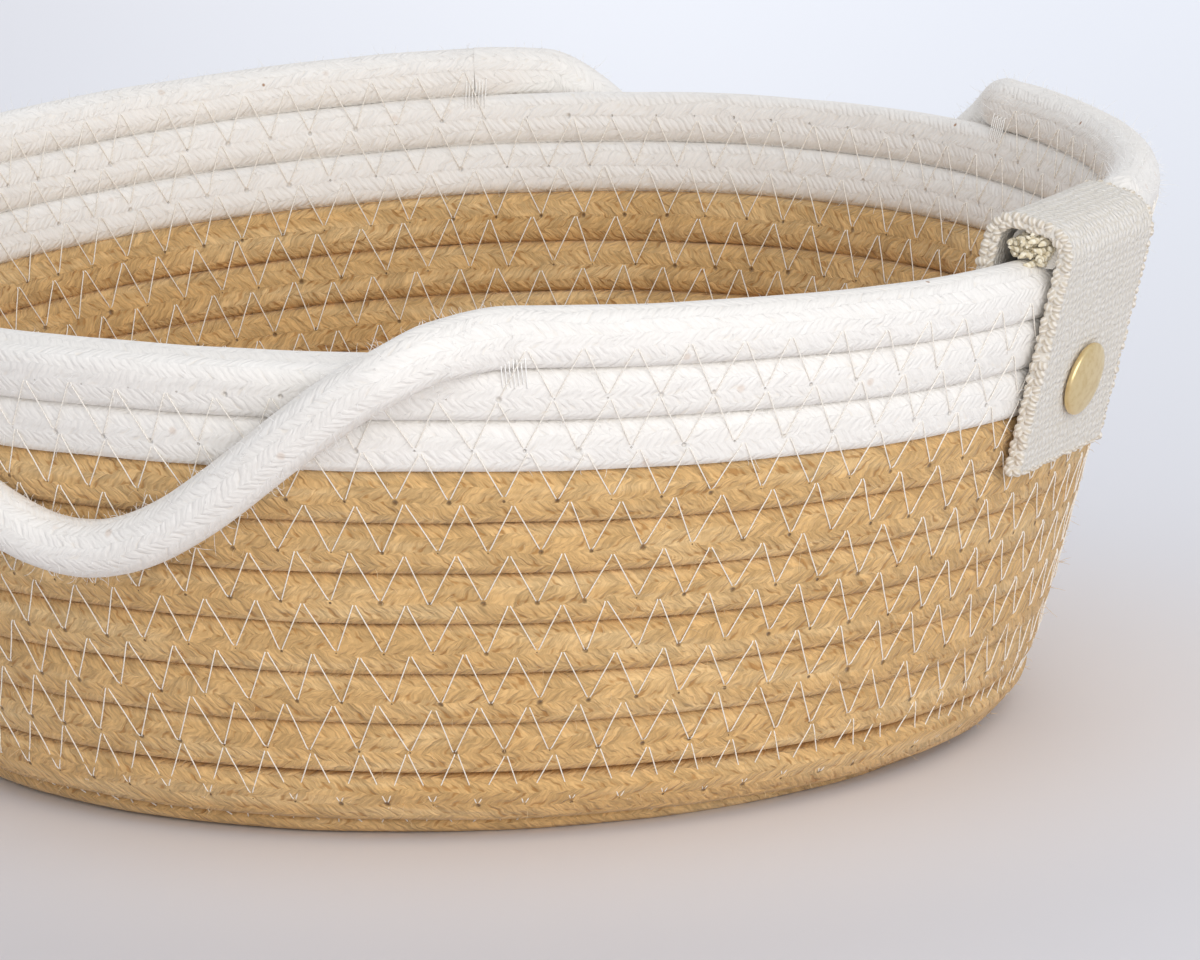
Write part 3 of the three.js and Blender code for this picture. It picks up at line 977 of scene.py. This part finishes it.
def strap_way():
    """Middle of the strap's thickness, from the outer cut end over the fold to the inner one"""
    half = tab_thickness / 2
    corner_height = fold_height - fold_corner
    way = [(outer_seat + half, height) for height in np.linspace(-tab_drop, corner_height, 26)[:-1]]
    for corner_out, first_angle in ((outer_seat - fold_corner, 0), (fold_corner - inner_seat, math.pi / 2)):
        for angle in np.linspace(first_angle, first_angle + math.pi / 2, 8):
            across, up = (fold_corner + half) * math.cos(angle), (fold_corner + half) * math.sin(angle)
            way.append((corner_out + across, corner_height + up))
    way += [(-inner_seat - half, height) for height in np.linspace(corner_height, -tab_drop, 26)[1:]]
    return np.array(way)


def make_tab(way):
    grid = {"x_subdivisions": 1, "y_subdivisions": tab_columns, "size": 1}
    tab = start_piece("rim_tab_webbing", bpy.ops.mesh.primitive_grid_add, **grid)
    tab.data.name = tab.name
    points = vectors_of(tab.data.vertices)
    first = points[:, 0] < 0
    placed = np.where(first[:, None], way[0], way[1])
    set_points(tab.data, rows(placed[:, 0], placed[:, 1], points[:, 1] * tab_width))
    for part in (*tab.data.polygons, *tab.data.edges):
        part.select = all(not first[v] for v in part.vertices)
    for vertex, is_first in zip(tab.data.vertices, first):
        vertex.select = not is_first
    switch_to("EDIT")
    bpy.ops.mesh.select_mode(type="EDGE")
    for out_step, up_step in np.diff(way[1:], axis=0):
        extrude(out_step, up_step, 0)
    switch_to("OBJECT")
    return tab


tab_way = strap_way()
tab = make_tab(tab_way)
print("tab", len(tab.data.vertices), "points before its thickness")

# %% Tab thickness, place and pattern
tab_steps = running_total(np.linalg.norm(np.diff(tab_way, axis=0), axis=1))
tab_points = vectors_of(tab.data.vertices)
nearest_step = np.argmin(np.linalg.norm(tab_points[:, None, :2] - tab_way, axis=2), axis=1)
tab_lay = rows(tab_steps[nearest_step], tab_points[:, 2], 0 * tab_points[:, 2]) / mm
set_point_vector(tab.data, "lay", tab_lay)
set_points(tab.data, in_tab_place(tab_points))
apply_modifier(tab, "SOLIDIFY", thickness=tab_thickness, offset=0)
bevel_angle = math.radians(60)
apply_modifier(tab, "BEVEL", width=0.5 * mm, segments=3, limit_method="ANGLE", angle_limit=bevel_angle)
close_and_orient()
shade_smooth(50)
print("tab", len(tab.data.polygons), "faces")

# %% Webbing material
rib_width = 1.02
yarn_width = 1.08


def webbing_material():
    """Ribs across the strap, with the yarns of every second rib half a step aside and painted shade in the
    hollows between them
    """
    constants = {"Roughness": 0.93, "Specular IOR Level": 0.25, "Sheen Weight": 0.1}
    material, shader = new_material("webbing", constants)
    along, across, _ = split(attribute(material.node_tree, "lay"))
    place = vector(along, across, 0.0)
    drift = subtract(noise(place, 0.5, 2.0), 0.5)
    rib = multiply_add(drift, 1.5, divide(along, rib_width))
    half_rows = multiply(calc("FLOOR", rib), 0.5)
    yarn = multiply_add(drift, 1.9, add(divide(across, yarn_width), half_rows))
    rib_bump = multiply_add(calc("COSINE", multiply(rib, full_turn)), -0.4, 0.6)
    yarn_bump = multiply_add(calc("COSINE", multiply(yarn, full_turn)), -0.45, 0.55)
    height = multiply_add(noise(place, 2.4, 3.0, 0.6), 0.9, multiply(rib_bump, yarn_bump))
    # Painted shade: the colour darkens where the weave's relief is low.
    colour = blend_colour(ramp(height, 0.9, 0.2), (228, 223, 215), (206, 197, 181))
    tone = ramp(noise(place, 0.25, 3.0), 0.35, 0.75, 0.0, 0.5)
    dress(shader, blend_colour(tone, colour, (218, 211, 199)), height, 0.2 * mm)
    return material


finish_piece(tab, webbing_material(), "webbing", "rim_tab")

# %% [markdown]
# The strap's long edges are a chunky selvedge, where the weft yarn turns back, and its cut ends are
# a row of yarn ends. Both are copies of one rounded bead of yarn.

# %% Selvedge and cut ends
bead_stations = (0.0, 0.08, 0.25, 0.5, 0.75, 0.92, 1.0)
bead_widths = (0.2, 0.62, 0.93, 1, 0.93, 0.62, 0.2)
yarn_bead = bar(8, 0.58 * mm, bead_stations, widths=bead_widths)
bead_spacing = 1.08 * mm
edge_random = np.random.default_rng(61)
selvedge_cotton = twisted_yarn("selvedge yarn", (205, 193, 174), (228, 221, 210), 0.6, 0.08 * mm)


def way_at(distance):
    """Place and direction on the strap's way, in the tab's own frame"""
    place, ahead, behind = (
        rows(*(np.interp(distance + step, tab_steps, tab_way[:, axis]) for axis in (0, 1)))
        for step in (0, 0.4 * mm, -0.4 * mm)
    )
    return place, unit(ahead - behind)


def tab_beads(name, distance, across, thickness, lean, half_length):
    """Beads of yarn on the strap: thickness is how far off its middle each lies, lean its slant"""
    place, direction = way_at(distance)
    off = rows(direction[:, 1], -direction[:, 0])
    middle = np.column_stack([place + off * thickness[:, None], across])
    heading = direction * np.cos(lean)[:, None] + off * np.sin(lean)[:, None]
    reach = np.column_stack([heading * half_length[:, None], 0 * lean])
    normals = np.tile(tab_across, (len(lean), 1))
    piece = lay_copies(name, yarn_bead, in_tab_place(middle - reach), in_tab_place(middle + reach), normals)
    finish_piece(piece, selvedge_cotton, "webbing")


def in_turn(count):
    """1 and -1 in turn, for two layers of beads"""
    return np.where(np.arange(count) % 2 == 0, 1, -1)


bead_count = 2 * int(tab_steps[-1] / bead_spacing)
for side_name, side in (("near", 1), ("far", -1)):
    distance = (np.arange(bead_count) // 2 + 0.5) * bead_spacing
    distance = distance + edge_random.normal(0, 0.14 * mm, bead_count)
    across = side * (tab_width / 2 - 0.3 * mm + edge_random.normal(0, 0.13 * mm, bead_count))
    lean = in_turn(bead_count) * 0.65 + edge_random.normal(0, 0.3, bead_count)
    half_length = edge_random.uniform(0.6 * mm, 0.85 * mm, bead_count)
    tab_beads(f"selvedge_{side_name}", distance, across, in_turn(bead_count) * 0.45 * mm, lean, half_length)
for end_name, end_at, outwards in (("outer", 0.0, -1), ("inner", float(tab_steps[-1]), 1)):
    across = np.repeat(np.linspace(-0.5, 0.5, 29)[1:-1] * tab_width, 2)
    count = len(across)
    distance = end_at - outwards * edge_random.uniform(0.1 * mm, 0.5 * mm, count)
    lean = edge_random.normal(0, 0.2, count)
    tab_beads(f"cut_{end_name}", distance, across, in_turn(count) * 0.42 * mm, lean, np.full(count, 0.6 * mm))

# %% [markdown]
# ## The rope's cut end
#
# Under the fold the white rope is cut off, and short stubs of yarn spring from its end.

# %% Cut end of the rope
stub_count = 34
golden_step = 2.4
end_half_width = 2.5 * mm
end_half_height = 1.75 * mm


def rope_end_strands():
    random = np.random.default_rng(71)
    stub = bar(6, 0.46 * mm, (0.0, 0.3, 0.6, 0.85, 1.0), (0, 0.25, 0.45, 0.35, 0), (0.9, 1.1, 1.0, 0.8, 0.3))
    bearing = float(bearing_at(end_turn))
    aside, proud = sheet_directions(bearing, length_at(end_turn))
    travel = around_from(bearing)
    end_middle = beside_sheet(bearing, length_at(end_turn), -1.1 * mm)
    angle = np.arange(stub_count) * golden_step
    reach = np.sqrt((np.arange(stub_count) + 0.5) / stub_count)
    out = (end_half_width * reach * np.cos(angle))[:, None] * proud
    up = (end_half_height * reach * np.sin(angle))[:, None] * aside
    splay = 1.1 + random.normal(0, 0.14, stub_count)[:, None]
    length = random.uniform(1.2 * mm, 3.4 * mm, stub_count)[:, None]
    starts = end_middle + out + up - 0.8 * mm * travel
    ends = end_middle + (out + up) * splay + length * travel
    return lay_copies("rope_end_strands", stub, starts, ends, unit(random.normal(0, 1, (stub_count, 3))))


cut_cotton = twisted_yarn("cut yarn", (222, 209, 178), (243, 235, 214), 0.8, 0.1 * mm)
finish_piece(rope_end_strands(), cut_cotton, "white_rope")

# %% [markdown]
# ## Fuzz
#
# Loose fibres soften the rope's outline. One hair is a bent, tapered bar of three sides, and about
# ten thousand copies stand on the ropes.

# %% Fuzz on the ropes
hair = bar(3, 0.032 * mm, (0.0, 0.2, 0.45, 0.75, 1.0), (0, 0.14, 0.24, 0.2, 0), (1, 0.9, 0.8, 0.65, 0.3))
hair_depth = 0.08 * mm
above_floor = 0.2 * mm


def fuzz_on(rope, count, seed, flank_limit):
    """Hairs on a rope. flank_limit leaves out the flanks that lie against the next rounds"""
    random = np.random.default_rng(seed)
    lay = vectors_of(rope.data.attributes["lay"].data, "vector")
    free = np.flatnonzero(np.abs(lay[:, 2]) < flank_limit)
    chosen = random.choice(free, count, replace=False)
    places, normals = (vectors_of(rope.data.vertices, name)[chosen] for name in ("co", "normal"))
    heading = unit(normals + random.normal(0, 0.55, (count, 3)))
    length = np.clip(random.lognormal(-0.05, 0.5, count), 0.35, 2.8) * mm
    starts = places - normals * hair_depth
    ends = starts + heading * length[:, None]
    kept = ends[:, 2] > above_floor
    sideways = unit(random.normal(0, 1, (count, 3)))
    return lay_copies(f"{rope.name}_fuzz", hair, starts[kept], ends[kept], sideways[kept])


white_lint = twisted_yarn("white lint", (246, 244, 240), (250, 248, 245), 3.0, 0.001 * mm)
tan_lint = twisted_yarn("tan lint", (222, 190, 142), (232, 204, 160), 3.0, 0.001 * mm)
for rope, count, limit, lint, slot_name in (
    (tan_wall, 4200, 0.8, tan_lint, "tan_rope"), (white_wall, 1500, 0.8, white_lint, "white_rope"),
    (rim_back, 1500, 1.1, white_lint, "white_rope"), (rim_end, 900, 1.1, white_lint, "white_rope"),
):
    finish_piece(fuzz_on(rope, count, count, limit), lint, slot_name)
for rope, side_name, way_start, way_end in handle_halves:
    fuzz = finish_piece(fuzz_on(rope, 480, 81, 1.1), white_lint, "white_rope", body=None)
    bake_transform(fuzz)

# %% [markdown]
# ## The rivet
#
# A brass cap with a low dome outside, and inside a flat disc on the shank: profiles spun round the
# rivet's axis.

# %% Rivet
rivet_height = 1.3 * mm - 3 * rope_pitch
outer_face = outer_seat + tab_thickness
cap_seat = outer_face + seat_gap
stud_seat = -inner_seat - tab_thickness - seat_gap
cap_radius = 4.75 * mm


def turned(name, profile):
    """Spins a profile of (radius, out) round the rivet's axis"""
    piece = start_piece(name, bpy.ops.mesh.primitive_plane_add, size=1)
    mesh = bpy.data.meshes.new(name)
    corners = [(radius, 0, out) for radius, out in profile]
    mesh.from_pydata(corners, [(i, i + 1) for i in range(len(corners) - 1)], [])
    piece.data = mesh
    edit_all()
    bpy.ops.mesh.spin(steps=48, angle=full_turn, center=(0, 0, 0), axis=(0, 0, 1))
    bpy.ops.mesh.select_all(action="SELECT")
    bpy.ops.mesh.remove_doubles(threshold=1e-6)
    switch_to("OBJECT")
    points = vectors_of(mesh.vertices)
    set_points(mesh, in_tab_place(rows(points[:, 2], points[:, 1] + rivet_height, points[:, 0])))
    close_and_orient()
    shade_smooth(35)
    return piece


def raised(seat, corners):
    """A profile's (radius, out) in metres from corners in mm above its seat"""
    return [(radius * mm, seat + out * mm) for radius, out in corners]


cap_profile = raised(cap_seat, [(0, 0), (4.4, 0), (4.62, 0.06), (4.75, 0.25)])
for angle in np.linspace(0, math.pi / 2, 10)[:-1]:
    cap_profile.append((cap_radius * math.cos(angle), cap_seat + 0.55 * mm + 0.85 * mm * math.sin(angle)))
cap_profile.append((0, cap_seat + 1.4 * mm))
stud_disc = [(0, -0.9), (3.4, -0.9), (3.85, -0.75), (4.0, -0.45), (3.9, 0), (1.5, 0)]
stud_profile = [*raised(stud_seat, stud_disc), *raised(outer_face, [(1.5, 0), (0, 0)])]
cap = turned("rivet_cap_dome", cap_profile)
stud = turned("rivet_stud_disc", stud_profile)
print("rivet", len(cap.data.polygons) + len(stud.data.polygons), "faces")

# %% Brass
def brass_material():
    """Pale brass, a little worn"""
    material, shader = new_material("pale brass", {"Metallic": 1.0})
    wear = noise(object_place(material.node_tree), 900.0, 4.0, 0.6)
    colour = blend_colour(ramp(wear, 0.4, 0.7), (238, 215, 164), (228, 202, 148))
    feed(ramp(wear, 0.3, 0.8, 0.3, 0.42), shader.inputs["Roughness"])
    dress(shader, colour, wear, 0.01 * mm)
    return material


brass = brass_material()
finish_piece(cap, brass, "rivet", "rivet_cap")
finish_piece(stud, brass, "rivet", "rivet_stud")

# %% [markdown]
# ## Floor, backdrop and light
#
# The floor is flat and grows paler with the distance, so far away it passes for the backdrop. Its
# left is painted darker, painted shade, and its right and a ring round the basket's foot are painted paler,
# painted light. The soft light comes from the right and from behind the camera, so the basket's left is in
# half shade.

# %% Floor
floor = start_piece("studio_floor", bpy.ops.mesh.primitive_plane_add, size=12)
floor_material, floor_shader = new_material("studio floor", {"Roughness": 0.9})
floor_x, floor_y, _ = split(object_place(floor_material.node_tree))
away = ramp(add(multiply(floor_x, 0.88), multiply(floor_y, 0.47)), -0.3, 0.55)
leftwards = add(multiply(floor_x, -0.46), multiply(floor_y, 0.89))
from_foot = calc("SQRT", multiply_add(floor_x, floor_x, multiply(floor_y, floor_y)))
floor_colour = blend_colour(away, (212, 206, 205), (247, 249, 254))
# In turn: painted shade on the floor's left, painted light on its right, and painted light round the basket's
# foot that lifts its contact shadow
for share, tint in (
    (ramp(leftwards, -0.06, 0.2, 0.0, 0.6), (200, 197, 200)),
    (ramp(leftwards, 0.0, -0.13, 0.0, 0.5), (234, 237, 244)),
    (ramp(from_foot, 0.13, 0.08, 0.0, 0.6), (238, 235, 236)),
):
    floor_colour = blend_colour(share, floor_colour, tint)
feed(floor_colour, floor_shader.inputs["Base Color"])
floor.data.materials.append(floor_material)
print("floor made")

# %% Light
world = bpy.data.worlds.new("studio")
bpy.context.scene.world = world
world.use_nodes = True
background = world.node_tree.nodes["Background"]
background.inputs["Color"].default_value = (0.93, 0.95, 1.0, 1)
background.inputs["Strength"].default_value = 0.76
lamp_aim = Vector((0, 0, 0.04))


def soft_lamp(name, place, size, power):
    bpy.ops.object.light_add(type="AREA", location=place)
    lamp = bpy.context.object
    lamp.name = name
    lamp.data.size = size
    lamp.data.energy = power
    lamp.rotation_euler = (lamp_aim - Vector(place)).to_track_quat("-Z", "Y").to_euler()
    return lamp


soft_lamp("window_lamp", (-0.85, -1.25, 0.6), 1.3, 10.5)
soft_lamp("front_lamp", (-1.35, -0.75, 0.35), 1.0, 5)
soft_lamp("backdrop_lamp", (1.1, 0.6, 0.8), 0.8, 3).rotation_euler = (0, 0, 0)
bpy.context.scene.view_settings.view_transform = "Standard"
print("studio lit by 3 lamps")
